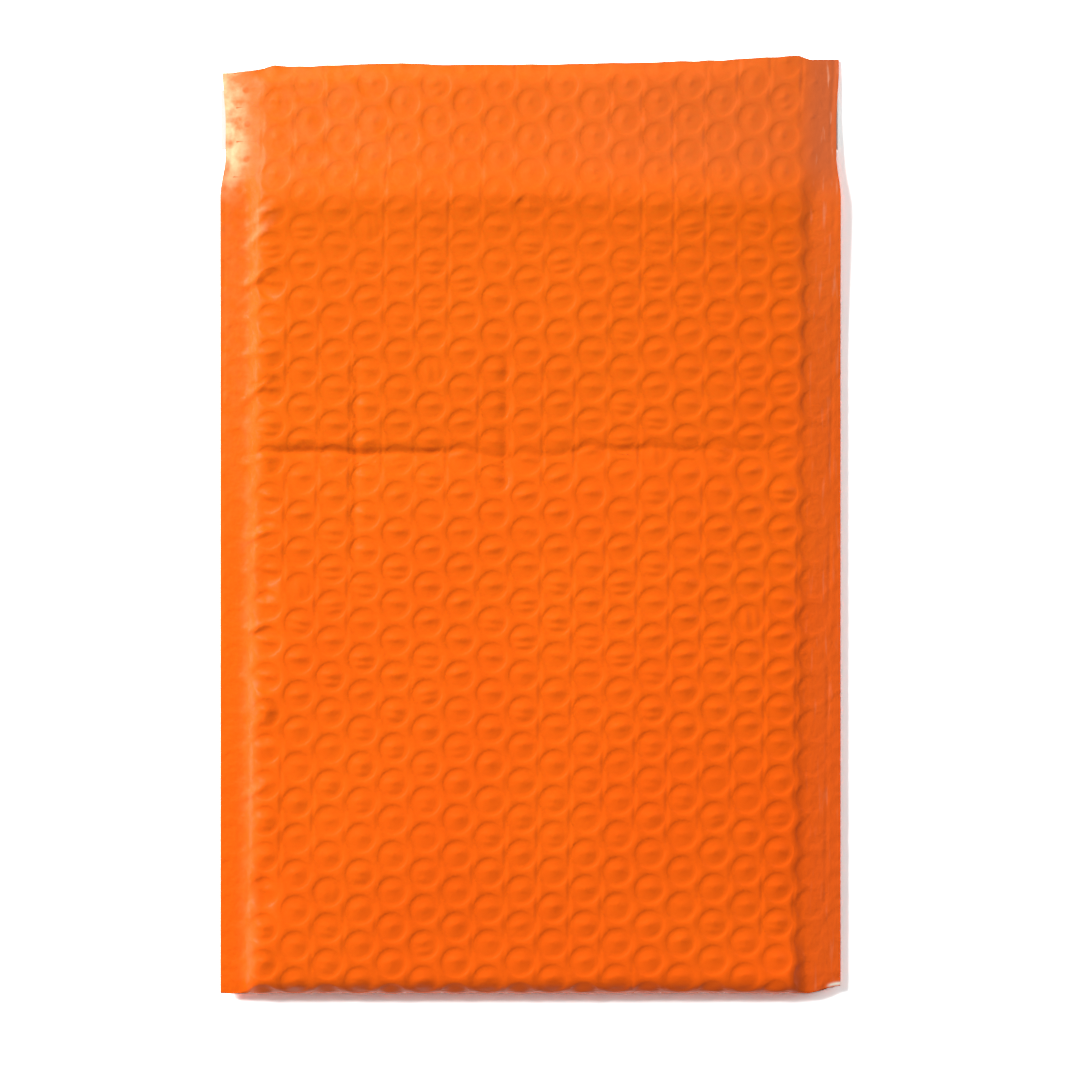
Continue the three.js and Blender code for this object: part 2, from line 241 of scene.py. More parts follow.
# Points of the smooth inner face
INNER_STEP = 14.0
INNER_FLAP_STEP = 4.0
INNER_FOLD_POINTS = 11
INNER_SHOULDER_POINTS = 5
INNER_MIDDLE_POINTS = 9
INNER_MIDDLE_X = 60.0

# Short wrinkles in the skin of the bubbles
WRINKLE_ROLLS = (17.3, 5.9, 29.7, 41.1, 11.9, 23.3)
WRINKLE_WIDTH = 1.15
WRINKLE_UP = (0.3, 0.7)  # how far above the centre the first lies at least, and how much more at most
SECOND_WIDTH = 0.85
SECOND_DOWN = (1.4, 0.6)  # and the second below it
SECOND_FROM = 0.8  # one bubble in five has a second one
UPRIGHT_FROM = 0.985  # few stand upright
TILT_MIDDLE = 0.6
TILT_SPREAD = 0.5  # radians, as is the next
FLAP_TURN = 1.5  # how much further they may be turned on the flap
WORN_FROM = (60.0, 100.0)  # from the fold, where wrinkles get longer and stronger
WORN_TO = (150.0, 170.0)
WRINKLE_RUN = 2.0
WRINKLE_RUN_WORN = 0.7
WRINKLE_RUN_FLAP = 1.4
WRINKLE_SHIFT = 0.6
WRINKLE_REACH = (2.9, 4.0)

# How pale or scuffed the film is, and how much painted sheen, highlight and shade it carries, as shares
FLAP_HAZE_AND_SHEEN = (0.015, 0.045)  # painted sheen with a milky haze: at its middle, and how much more at its left margin, nearer the key
# left margin of the flap: thin film over the liner, with painted glare
PALE_MARGIN = 1.15
PALE_WELD = 0.06
# painted highlights on the lit left shoulder and on the lit sides of the slanting folds
SHOULDER_HIGHLIGHT = 0.08
FOLDS_HIGHLIGHT = 0.3
FOLDS_HIGHLIGHT_UP = 0.7  # the side that faces the flap and the key
SCUFF_AND_SHADE_WELD = (0.2, 0.12)  # scuffs and painted shade: at the fold, and how much more at the mouth
SCUFF_AND_SHADE_MARGIN = 0.62
# painted shade across the flap, deeper towards the right, away from the key
FLAP_SHADE_RIGHT = 0.32


def ease(value, start, end):
    """0 at start, 1 at end, with a smooth run between them."""
    share = np.clip((value - start) / (end - start), 0, 1)
    return share * share * (3 - 2 * share)


def bell(value, width):
    return np.exp(-((value / width) ** 2))


def drift(across, along, cell_across, cell_along, seed):
    """Smooth random waves from -1 to 1, with cells of the given size."""
    table = np.random.default_rng(SEED + seed).uniform(-1, 1, (DRIFT_CELLS, DRIFT_CELLS))
    a = across / cell_across
    b = along / cell_along
    column = np.floor(a).astype(int)
    row = np.floor(b).astype(int)
    u = ease(a - column, 0, 1)
    v = ease(b - row, 0, 1)
    left, right = column % DRIFT_CELLS, (column + 1) % DRIFT_CELLS
    low, high = row % DRIFT_CELLS, (row + 1) % DRIFT_CELLS
    near = table[left, low] * (1 - u) + table[right, low] * u
    far = table[left, high] * (1 - u) + table[right, high] * u
    return near * (1 - v) + far * v


def read(mesh, name, width=1):
    """A point attribute of a mesh as an array."""
    values = np.zeros(len(mesh.vertices) * width, np.float32)
    mesh.attributes[name].data.foreach_get("value" if width == 1 else "vector", values)
    values = values.astype(float)
    return values if width == 1 else values.reshape(-1, width)


def write(mesh, name, values):
    wide = values.ndim > 1
    attribute = mesh.attributes.new(name, "FLOAT_VECTOR" if wide else "FLOAT", "POINT")
    attribute.data.foreach_set("vector" if wide else "value", values.astype(np.float32).ravel())


# Nodes

def add_node(tree, kind, inputs=None, **settings):
    """Adds a node with its settings. An input is a value, a socket, or a node whose result it takes."""
    node = tree.nodes.new(kind)
    for name, value in settings.items():
        setattr(node, name, value)
    for socket, value in (inputs or {}).items():
        if isinstance(value, bpy.types.Node):
            value = next(output for output in value.outputs if output.enabled)
        if isinstance(value, bpy.types.NodeSocket):
            tree.links.new(value, node.inputs[socket])
        else:
            node.inputs[socket].default_value = value
    return node


def linear(hex_colour):
    """An sRGB hex colour as linear RGBA."""
    shares = [int(hex_colour[i:i + 2], 16) / 255 for i in (1, 3, 5)]
    return [c / 12.92 if c <= 0.04045 else ((c + 0.055) / 1.055) ** 2.4 for c in shares] + [1.0]


# Bubble web: a sixth of a bubble, set round every bubble centre of the staggered lattice

def bubble_sixth():
    """A sixth of a bubble with its share of the land, still flat."""
    turns = np.linspace(0, math.pi / 3, SIXTH_STEPS + 1)
    rings = [np.full(SIXTH_STEPS + 1, radius) for radius in BUBBLE_RINGS]
    rings.append(HEX_SIDE / np.cos(turns - math.pi / 6))
    places = [(0.0, 0.0, 0.0)]
    for ring in rings:
        for radius, turn in zip(ring, turns):
            places.append((radius * math.cos(turn) * MM, radius * math.sin(turn) * MM, 0.0))
    row = SIXTH_STEPS + 1
    on_border = np.arange(len(places)) >= len(places) - row
    faces = [(0, 1 + i, 2 + i) for i in range(SIXTH_STEPS)]
    for ring in range(len(rings) - 1):
        for i in range(SIXTH_STEPS):
            start = 1 + ring * row + i
            faces.append((start, start + row, start + row + 1, start + 1))
    mesh = bpy.data.meshes.new("bubble sixth")
    mesh.from_pydata(places, [], faces)
    write(mesh, "border", on_border.astype(float))
    return bpy.data.objects.new("bubble sixth", mesh)


def bubble_web_tree(sixth, film):
    tree = bpy.data.node_groups.new("bubble web", "GeometryNodeTree")
    sizes = {
        "Sixth": ("NodeSocketObject", sixth),
        "Columns": ("NodeSocketInt", COLUMNS),
        "Rows": ("NodeSocketInt", ROWS),
        "To Next Column": ("NodeSocketVector", (COLUMN_PITCH * MM, 0, 0)),
        "To Next Row": ("NodeSocketVector", (0, 2 * HEX_SIDE * MM, 0)),
        "Seed": ("NodeSocketInt", SEED),
        "Film": ("NodeSocketMaterial", film),
    }
    values = {}
    for name, (kind, value) in sizes.items():
        socket = tree.interface.new_socket(name, in_out="INPUT", socket_type=kind)
        values[socket.identifier] = value
    tree.interface.new_socket("Geometry", in_out="OUTPUT", socket_type="NodeSocketGeometry")
    size = add_node(tree, "NodeGroupInput").outputs

    # Bubble centres, every second column moved by half a row
    column = add_node(tree, "GeometryNodeMeshLine", {"Count": size["Rows"], "Offset": size["To Next Row"]})
    row = add_node(tree, "GeometryNodeMeshLine", {"Count": size["Columns"], "Offset": size["To Next Column"]})
    index = add_node(tree, "GeometryNodeInputIndex")
    odd = add_node(tree, "ShaderNodeMath", {0: index, 1: 2.0}, operation="FLOORED_MODULO")
    half = add_node(tree, "ShaderNodeMath", {0: odd, 1: 0.5}, operation="MULTIPLY")
    shift = add_node(tree, "ShaderNodeVectorMath", {0: size["To Next Row"], "Scale": half}, operation="SCALE")
    row = add_node(tree, "GeometryNodeSetPosition", {"Geometry": row, "Offset": shift})
    lattice = add_node(tree, "GeometryNodeInstanceOnPoints", {"Points": row, "Instance": column})
    lattice = add_node(tree, "GeometryNodeRealizeInstances", {"Geometry": lattice})
    chance = add_node(tree, "FunctionNodeRandomValue", {"Seed": size["Seed"]}, data_type="FLOAT")
    lattice = add_node(tree, "GeometryNodeStoreNamedAttribute",
                       {"Geometry": lattice, "Name": "bubble_chance", "Value": chance}, data_type="FLOAT")
    place = add_node(tree, "GeometryNodeInputPosition")
    lattice = add_node(tree, "GeometryNodeStoreNamedAttribute",
                       {"Geometry": lattice, "Name": "bubble_centre", "Value": place},
                       data_type="FLOAT_VECTOR")

    # Six sixths round each centre, joined to one seamless web
    sixths = add_node(tree, "GeometryNodeDuplicateElements", {"Geometry": lattice, "Amount": 6},
                      domain="POINT")
    angle = add_node(tree, "ShaderNodeMath", {0: sixths.outputs["Duplicate Index"], 1: math.pi / 3},
                     operation="MULTIPLY")
    angle = add_node(tree, "ShaderNodeCombineXYZ", {"Z": angle})
    facing = add_node(tree, "FunctionNodeEulerToRotation", {0: angle})
    shape = add_node(tree, "GeometryNodeObjectInfo", {"Object": size["Sixth"]})
    web = add_node(tree, "GeometryNodeInstanceOnPoints",
                   {"Points": sixths, "Instance": shape.outputs["Geometry"], "Rotation": facing})
    web = add_node(tree, "GeometryNodeRealizeInstances", {"Geometry": web})
    web = add_node(tree, "GeometryNodeMergeByDistance", {"Geometry": web, "Distance": JOIN_WITHIN * MM})
    web = add_node(tree, "GeometryNodeSetShadeSmooth", {"Geometry": web})
    web = add_node(tree, "GeometryNodeSetMaterial", {"Geometry": web, "Material": size["Film"]})
    add_node(tree, "NodeGroupOutput", {"Geometry": web})
    return tree, values


def grown_mesh(name, tree, values):
    """The plain mesh that a node tree makes."""
    seedling = bpy.data.objects.new(name, bpy.data.meshes.new(name))
    bpy.context.scene.collection.objects.link(seedling)
    modifier = seedling.modifiers.new(name, "NODES")
    modifier.node_group = tree
    for identifier, value in values.items():
        modifier[identifier] = value
    graph = bpy.context.evaluated_depsgraph_get()
    mesh = bpy.data.meshes.new_from_object(seedling.evaluated_get(graph))
    bpy.data.objects.remove(seedling)
    return mesh


def places_of(mesh):
    places = np.zeros(len(mesh.vertices) * 3, np.float32)
    mesh.vertices.foreach_get("co", places)
    return places.astype(float).reshape(-1, 3) / MM


def put(mesh, places):
    mesh.vertices.foreach_set("co", (places * MM).astype(np.float32).ravel())


def draw_to_pitch(mesh):
    """Draws the regular web to its row pitch and lean. The bubbles themselves stay round."""
    middle = np.array([COLUMNS // 2 * COLUMN_PITCH, ROWS // 2 * 2 * HEX_SIDE, 0])
    places = places_of(mesh) - middle
    centres = read(mesh, "bubble_centre", 3) / MM - middle
    within = places - centres
    draw = ROW_PITCH / (2 * HEX_SIDE)
    on_border = read(mesh, "border") > 0.5
    across = places[:, 0]
    along = np.where(on_border, places[:, 1] * draw, centres[:, 1] * draw + within[:, 1])
    drawn = np.stack([across + along * COLUMN_LEAN + LATTICE_X,
                      along + across * ROW_RISE + UPPER_START + LATTICE_FROM_FOLD, 0 * along], axis=1)
    put(mesh, drawn)
    write(mesh, "bubble_place", within)
    write(mesh, "column_place", across / COLUMN_PITCH)


# Forming: from a place on the flat web to a place on the mailer

def feet_at(s):
    """How far out the shoulders leave the left and the right weld."""
    from_fold = np.minimum(np.abs(s - FOLD_MIDDLE), POUCH_LENGTH)
    on_flap = ease(s, *SHOULDER_CHANGE)
    left = FOOT_LEFT + FOOT_LEAN_LEFT * from_fold
    right = FOOT_RIGHT + FOOT_LEAN_RIGHT * from_fold
    return left + (FLAP_FOOT - left) * on_flap, right + (FLAP_FOOT - right) * on_flap


def swell(x, s):
    """How far the wall has risen from the welds or margins: 0 on them, 1 past the shoulders."""
    foot_left, foot_right = feet_at(s)
    on_flap = ease(s, *SHOULDER_CHANGE)
    run_left = SHOULDER_LEFT + (FLAP_SHOULDER - SHOULDER_LEFT) * on_flap
    run_right = SHOULDER_RIGHT + (FLAP_SHOULDER - SHOULDER_RIGHT) * on_flap
    left = ease(x, -foot_left, -foot_left + run_left)
    right = ease(-x, -foot_right, -foot_right + run_right)
    return left * right


def fullness(x, s):
    """What is left of the wall's rise: the upper wall stays lower towards its sides."""
    left = np.clip(1 - (x + FOOT_LEFT) / LEFT_FLATTER_RUN, 0, 1)
    right = np.clip(1 - (FOOT_RIGHT - x) / RIGHT_FLATTER_RUN, 0, 1)
    flatter = LEFT_FLATTER * left ** 2 + RIGHT_FLATTER * right ** 2
    return 1 - flatter * ease(s, FOLD_START, FOLD_END + FLATTER_START_RUN)


def gap_above(x, y, swollen):
    across = 1 - np.minimum(1, np.abs(x) / WELD_X) ** 2
    along = ease(y, FOLD_Y + FOLD_RADIUS, FOLD_Y + FOLD_RADIUS + CROWN_RUN)
    return swollen * POCKET_GAP / 2 + CROWN * across * along


def tip_at(x):
    return TIP + FLAP_SKEW * x / (2 * EDGE_X)


def crease_rise(x):
    """How far the old crease wanders from its straight line."""
    across, rise, _ = np.array(CREASE_LINE).T
    column_at_crease = LATTICE_X + (CREASE_FROM_FOLD - LATTICE_FROM_FOLD) * COLUMN_LEAN
    stagger = CREASE_STAGGER * np.cos(np.pi * (x - column_at_crease) / COLUMN_PITCH)
    return np.interp(x, across, rise) + stagger * ease(x, *CREASE_STAGGER_FROM)


def crease_at(x, from_fold):
    """Depth of the old fold across the upper wall: a valley, steeper on its upper side."""
    across, _, depth = np.array(CREASE_LINE).T
    off = from_fold - CREASE_FROM_FOLD
    above = 1 - ease(off, 0, CREASE_ABOVE)
    below = np.exp(np.minimum(off, 0) / CREASE_BELOW)
    valley = CREASE_DEPTH * np.interp(x, across, depth) * above * below
    return valley + BEND_DEPTH * np.exp(-np.abs(off) / BEND_RUN)


def column_creases_at(x, from_fold):
    depth = 0 * x
    for place, low, high, most in COLUMN_CREASES:
        off = x - place - COLUMN_LEAN * (from_fold - (low + high) / 2)
        begun = ease(from_fold, low, low + COLUMN_CREASE_FADE)
        ended = ease(from_fold, high - COLUMN_CREASE_FADE, high)
        depth = depth + most * begun * (1 - ended) * bell(off, COLUMN_CREASE_RUN)
    return depth


def puckers_at(x, from_fold):
    """Soft gathers along the inner edges of the welds, stronger on the left."""
    high_left, in_left, reach_left = PUCKERS_LEFT
    high_right, in_right, reach_right = PUCKERS_RIGHT
    near_left = bell(x + WELD_X - in_left, reach_left)
    near_right = bell(x - WELD_X + in_right, reach_right)
    waves = drift(x, from_fold - PUCKER_SLANT * np.abs(x), *PUCKER_WAVES)
    remaining = 1 - PUCKER_CALM * bell(from_fold - POUCH_LENGTH + PUCKER_CALM_BELOW, PUCKER_CALM_RUN)
    return (high_left * near_left * remaining + high_right * near_right) * waves


def mouth_folds_at(x, from_fold):
    """Where the slanting folds under the left end of the mouth are: 1 along their tops."""
    inward = x + FOOT_LEFT - GATHER_START
    rise = 0 * x
    for place, slope in MOUTH_FOLDS:
        rise = rise + bell(from_fold - place - slope * inward, MOUTH_FOLD_WIDTH)
    return rise * bell(inward - MOUTH_FOLD_MIDDLE, MOUTH_FOLD_RUN)


def soft_forms(x, from_fold):
    """What use and handling add to the height of the upper wall."""
    waves = SLACK_RISE * drift(x, from_fold, *SLACK_WAVES) + SMALL_RISE * drift(x, from_fold, *SMALL_WAVES)
    ridge = MOUTH_RIDGE * np.exp(-np.abs(from_fold - POUCH_LENGTH) / MOUTH_RIDGE_RUN)
    slanting = MOUTH_FOLD_RISE * mouth_folds_at(x, from_fold)
    dents = crease_at(x, from_fold) + column_creases_at(x, from_fold)
    return waves + ridge + puckers_at(x, from_fold) + slanting - dents


def relief_share(x, s):
    """How much of a bubble's relief is left: little on the welds, the margins, the cuts and the crease."""
    on_flap = ease(s, *RELIEF_CHANGE)
    on_margin = on_flap * ease(np.abs(x), FLAP_FLAT_FROM, FLAP_FLAT_FROM + FLAP_FLAT_RUN)
    in_crease = bell(s - UPPER_START - CREASE_FROM_FOLD - CREASE_PRESSED_ABOVE, CREASE_PRESSED_RUN)
    below_mouth = bell(s - MOUTH + MOUTH_PRESSED_BELOW, MOUTH_PRESSED_RUN)
    lower = 1 - ease(s, FOLD_START - LOWER_PRESSED_RUN, FOLD_START)
    cut = ease(tip_at(x) - s, 0, TIP_TAPER)
    share = WELD_RELIEF + (1 - WELD_RELIEF) * ease(swell(x, s), *WELD_RELIEF_SWELL)
    share = share * (1 - FLAP_PRESSED * on_margin) * (1 - MOUTH_PRESSED * below_mouth)
    share = share * (1 - CREASE_PRESSED * in_crease) * (1 - LOWER_PRESSED * lower)
    return share * (1 + FLAP_FULLER * on_flap) * (CUT_RELIEF + (1 - CUT_RELIEF) * cut)


def droop_at(x, s):
    """How far the welds hang, as far as the mouth and the cut of the lower wall let them."""
    foot_left, foot_right = feet_at(s)
    left = DROOP_LEFT * np.clip((-x - foot_left) / (EDGE_X - foot_left), 0, 1)
    right = DROOP_RIGHT * np.clip((x - foot_right) / (EDGE_X - foot_right), 0, 1)
    return (left + right) * (1 - ease(s, *DROOP_CHANGE)) * (1 - bell(s, DROOP_LIP_RUN))


def formed(x, s, relief, inner):
    """Places on the mailer of the web's outer face, or of its inner face where inner is 1."""
    swollen = swell(x, s) * fullness(x, s)
    wall = WELD_THICKNESS / 2 - WELD_SLIT + (WALL - WELD_THICKNESS / 2) * swollen
    tip_wall = np.minimum(wall, TIP_THICKNESS)
    wall = tip_wall + (wall - tip_wall) * ease(tip_at(x) - s, 0, TIP_TAPER)
    bulge = relief * relief_share(x, s)
    skin = (wall + bulge) * (1 - inner)
    below = swollen * POCKET_GAP / 2 + WELD_SLIT + skin

    # Lower wall, which lies flat on its land
    y_lower = MOUTH_Y - s
    rest = (wall + np.minimum(bulge, 0)) * (1 - inner)
    z_lower = WELD_HEIGHT - swollen * POCKET_GAP / 2 - WELD_SLIT - rest

    # Bottom fold
    turn = np.clip((s - FOLD_START) / FOLD_RADIUS, 0, np.pi)
    reach = np.where(inner > 0.5, swollen * POCKET_GAP / 2 + WELD_SLIT, FOLD_RADIUS + bulge)
    y_fold = FOLD_Y + FOLD_RADIUS - reach * np.sin(turn)
    z_fold = WELD_HEIGHT - below * np.cos(turn)

    # Upper wall
    from_fold = s - UPPER_START
    y_upper = FOLD_Y + from_fold + crease_rise(x) * bell(from_fold - CREASE_FROM_FOLD, CREASE_WANDER_RUN)
    away_from_fold = ease(from_fold, FOLD_RADIUS, FOLD_RADIUS + FORMS_RUN)
    forms = soft_forms(x, from_fold) * swollen * away_from_fold * (1 - inner)
    z_upper = WELD_HEIGHT + gap_above(x, y_upper, swollen) + WELD_SLIT + skin + forms

    # Flap, with a wavy cut
    across, rise = np.array(TIP_CUT).T
    cut = np.interp(x, across, rise) + CUT_RISE * drift(x, 0 * x, *CUT_WAVES)
    cut = cut * ease(s, MOUTH + TIP_CUT_FROM, tip_at(x))
    y_flap = MOUTH_Y + (s - MOUTH) * math.cos(FLAP_SLOPE) + cut
    arch = 1 - ease(y_flap, MOUTH_Y, MOUTH_Y + ARCH_RUN)
    drop = (y_flap - MOUTH_Y) * math.tan(FLAP_SLOPE)
    inner_face = WELD_HEIGHT - drop + gap_above(x, 0 * x + MOUTH_Y, swollen) * arch
    ridge = MOUTH_RIDGE * (1 - ease(y_flap, MOUTH_Y, MOUTH_Y + MOUTH_RIDGE_FLAP_RUN))
    flap_forms = FLAP_RISE * drift(x, y_flap, *FLAP_WAVES) + ridge
    z_flap = inner_face + WELD_SLIT + skin + flap_forms * swollen * (1 - inner)
    inset = np.where(x < 0, FLAP_INSET_LEFT, FLAP_INSET_RIGHT) / EDGE_X
    waist = ease(s, *WAIST_IN) * (1 - WAIST_RETURN * ease(s, *WAIST_OUT))
    x_flap = x * (1 - inset * waist)

    zones = [s <= FOLD_START, s < FOLD_END, s <= MOUTH]
    y = np.select(zones, [y_lower, y_fold, y_upper], y_flap)
    z = np.select(zones, [z_lower, z_fold, z_upper], z_flap)
    near_fold = np.clip(1 - (y - FOLD_Y) / FOLD_ROLL_RUN, 0, 1)
    roll = (s > FOLD_MIDDLE) * near_fold ** FOLD_ROLL_POWER * (1 - inner)
    z = WELD_HEIGHT + (z - WELD_HEIGHT) * (1 - FOLD_ROLL * roll) - droop_at(x, s)
    z = np.maximum(z, 0)  # the table presses flat what would reach below it
    y = y + CORNER_CUT * ease(x, EDGE_X - CORNER_RUN, EDGE_X) * bell(s - FOLD_MIDDLE, CORNER_RUN)
    return np.stack([np.where(s > MOUTH, x_flap, x), y, z], axis=1)


# Pouch

def score(web, place, normal, low, high):
    """Adds a line of edges across the faces between two corners, where the web bends sharply."""
    faces = []
    for face in web.faces:
        middle = face.calc_center_median() / MM
        if low[0] < middle.x < high[0] and low[1] < middle.y < high[1]:
            faces.append(face)
    edges = list({edge for face in faces for edge in face.edges})
    verts = list({vert for face in faces for vert in face.verts})
    bmesh.ops.bisect_plane(web, geom=verts + edges + faces, dist=SNAP * MM,
                           plane_co=Vector(place) * MM, plane_no=Vector(normal))


def score_creases(web):
    crease = UPPER_START + CREASE_FROM_FOLD
    low, high = (-WELD_X, crease - CREASE_SCORE_REACH), (WELD_X, crease + CREASE_SCORE_REACH)
    for off in CREASE_SCORES:
        score(web, (0, crease + off, 0), (0, 1, 0), low, high)
    for place, start, end, _ in COLUMN_CREASES:
        middle = UPPER_START + (start + end) / 2
        low = (place - COLUMN_SCORE_REACH, UPPER_START + start)
        high = (place + COLUMN_SCORE_REACH, UPPER_START + end)
        for off in COLUMN_SCORES:
            score(web, (place + off, middle, 0), (1, -COLUMN_LEAN, 0), low, high)


def trimmed(flat):
    """The flat web cut to its outline and scored, as a bmesh."""
    web = bmesh.new()
    web.from_mesh(flat)
    web.verts.layers.float.new("inner")
    tip_normal = Vector((-FLAP_SKEW / (2 * EDGE_X), 1, 0)).normalized()
    cuts = (
        ((EDGE_X, 0, 0), (1, 0, 0)),
        ((-EDGE_X, 0, 0), (-1, 0, 0)),
        ((0, 0, 0), (0, -1, 0)),
        ((0, TIP, 0), tip_normal),
    )
    for place, normal in cuts:
        everything = web.verts[:] + web.edges[:] + web.faces[:]
        bmesh.ops.bisect_plane(web, geom=everything, dist=SNAP * MM, plane_co=Vector(place) * MM,
                               plane_no=Vector(normal), clear_outer=True)
    score_creases(web)
    bmesh.ops.dissolve_degenerate(web, dist=SHORTEST_EDGE * MM, edges=web.edges[:])
    return web


def border_of(web):
    """The verts round the outline of the web, in order."""
    following = {}
    for edge in web.edges:
        if edge.is_boundary:
            loop = edge.link_loops[0]
            following[loop.vert] = loop.link_loop_next.vert
    start = next(iter(following))
    border = [start]
    while following[border[-1]] is not start:
        border.append(following[border[-1]])
    return border


def line_inside(web, border):
    """Closes the web into a slab: a rim along its outline and a smooth inner face."""
    is_inner = web.verts.layers.float["inner"]
    twins = [web.verts.new(vert.co) for vert in border]
    for i, vert in enumerate(border):
        after = (i + 1) % len(border)
        rim = web.faces.new((border[after], vert, twins[i], twins[after]))
        rim.edges[0].smooth = False
    # Rows of points along the walls, the fold and the flap, clear of the cuts
    stations = np.concatenate([
        np.arange(8, FOLD_START - 4, INNER_STEP),
        np.linspace(FOLD_START - 1, FOLD_END + 1, INNER_FOLD_POINTS),
        np.arange(FOLD_END + 5, MOUTH - 3, INNER_STEP),
        np.arange(MOUTH, TIP - 3, INNER_FLAP_STEP),
    ])
    columns = np.concatenate([
        np.linspace(-FOOT_LEFT, -FOOT_LEFT + SHOULDER_LEFT, INNER_SHOULDER_POINTS),
        np.linspace(-INNER_MIDDLE_X, INNER_MIDDLE_X, INNER_MIDDLE_POINTS),
        np.linspace(FOOT_RIGHT - SHOULDER_RIGHT, FOOT_RIGHT, INNER_SHOULDER_POINTS),
    ])
    spread = [web.verts.new((x * MM, s * MM, 0)) for s in stations for x in columns]
    points = twins + spread
    outline = [(i, (i + 1) % len(border)) for i in range(len(border))]
    flat_points = [Vector((vert.co.x / MM, vert.co.y / MM)) for vert in points]
    _, _, faces, origin, _, _ = geometry.delaunay_2d_cdt(flat_points, outline, [], 1, 1e-5)
    for face in faces:
        web.faces.new([points[origin[i][0]] for i in reversed(face)])
    for vert in points:
        vert[is_inner] = 1.0


def rolls_of(mesh, factors):
    """Numbers from 0 to 1 for each bubble, as many as there are factors."""
    chance = read(mesh, "bubble_chance")
    return [np.modf(chance * factor)[0] for factor in factors]


def bubble_relief(mesh, s):
    """Height over the land: a soft step down to a moat, and in it a dome that is nowhere quite alike."""
    place = read(mesh, "bubble_place", 3)
    shift_across, shift_along, height, wider = rolls_of(mesh, RELIEF_ROLLS)
    on_flap = ease(s, *BUBBLE_CHANGE)
    reach = np.hypot(place[:, 0], place[:, 1])
    above_or_below = np.where(reach > 0.1, (place[:, 1] / np.maximum(reach, 0.1)) ** 2, 0)
    step = STEP_DEPTH * (1 - FLAP_STEP_LOSS * on_flap * above_or_below)
    step = step * (1 - ease(reach, STEP_INNER, STEP_OUTER))
    across = (place[:, 0] + DOME_SHIFT * (shift_across - 0.5)) * (1 - DOME_WIDER * wider)
    along = (place[:, 1] + DOME_SHIFT * (shift_along - 0.5)) * (1 - FLAP_DOME_LONGER * on_flap)
    round_share = np.clip(1 - (across ** 2 + along ** 2) / DOME_RADIUS ** 2, 0, 1) ** 2
    full = 1 - DOME_WORN * ease(s - UPPER_START, *DOME_WORN_FROM) - FLAP_DOME_LOSS * on_flap
    dome = DOME_RISE * (DOME_LEAST + DOME_SPREAD * height) * full * round_share
    return np.where(read(mesh, "border") > 0.5, 0, dome - step)


def mark_wrinkles(mesh, x, s, outer):
    """Short wrinkles across each bubble's skin: how far off the first and the second lie, in wrinkle
    widths, and how strong they are."""
    place = read(mesh, "bubble_place", 3)
    tilt, turn, up, down, strong, second_one = rolls_of(mesh, WRINKLE_ROLLS)
    on_flap = ease(s, *BUBBLE_CHANGE)
    upright = turn > UPRIGHT_FROM
    angle = (tilt - TILT_MIDDLE) * TILT_SPREAD + on_flap * turn * FLAP_TURN + upright * math.pi / 2
    off = place[:, 1] * np.cos(angle) - place[:, 0] * np.sin(angle)
    along = place[:, 0] * np.cos(angle) + place[:, 1] * np.sin(angle)
    first = (off - WRINKLE_UP[0] - WRINKLE_UP[1] * up) / WRINKLE_WIDTH
    second = (off + SECOND_DOWN[0] + SECOND_DOWN[1] * down) / SECOND_WIDTH
    second = np.where(second_one > SECOND_FROM, second, 9.0)  # too far off to show

    # Stronger on the worn part of the wall and beside the welds, weaker on the flap
    from_fold = s - UPPER_START
    worn = ease(from_fold, *WORN_FROM)
    used = 0.5 + 0.5 * worn * (1 - 0.5 * ease(from_fold, *WORN_TO)) - 0.25 * on_flap
    beside_weld = 1 + 0.2 * bell(np.abs(x) - (WELD_X - 6), 7)
    strength = (0.6 + 0.3 * strong) * (1 - 0.5 * upright) * used * beside_weld
    run = WRINKLE_RUN + WRINKLE_RUN_WORN * worn - WRINKLE_RUN_FLAP * on_flap
    strength = strength * bell(along + WRINKLE_SHIFT * (down - 0.5), run)
    reach = np.hypot(place[:, 0], place[:, 1])
    strength = strength * (1 - ease(reach, *WRINKLE_REACH)) * ease(swell(x, s), 0.2, 0.5) * outer
    strength = np.where(read(mesh, "border") > 0.5, 0, strength)
    write(mesh, "wrinkle", np.stack([first, second, strength], axis=1))


def mark_gathers(mesh, x, s, outer):
    """Sharp slanting gathers beside the left weld: how far off the next one lies, and its strength."""
    from_fold = s - UPPER_START
    off = 0 * x + POUCH_LENGTH
    strength = 0 * x
    for i, (place, run) in enumerate(GATHERS):  # no two slant or stand out alike
        slant = 0.5 + 0.25 * math.sin(2.4 * i)
        inward = x + FOOT_LEFT - GATHER_START
        distance = from_fold - place - slant * inward
        reach = bell(inward - run / 2, run) * (1 - ease(np.abs(distance), *GATHER_CLEAR))
        off = np.where(np.abs(distance) < np.abs(off), distance, off)
        strength = np.maximum(strength, reach * (0.7 + 0.3 * math.cos(3.1 * i)))
    write(mesh, "gather", np.stack([off, strength * outer, 0 * x], axis=1))


def mark_corner_glint(mesh, places, s):
    """Painted white glint along the drawn-up corner, where its bent edge catches the light: how far off it
    lies, and where it shows.
    """
    line = FOLD_Y + CORNER_CUT * ease(places[:, 0], EDGE_X - CORNER_RUN, EDGE_X) + CORNER_LINE_UP
    upper = ease(s, FOLD_MIDDLE, FOLD_MIDDLE + 1)
    shown = ease(places[:, 0], *CORNER_LINE_FROM) * upper
    write(mesh, "corner", np.stack([places[:, 1] - line, shown, 0 * s], axis=1))


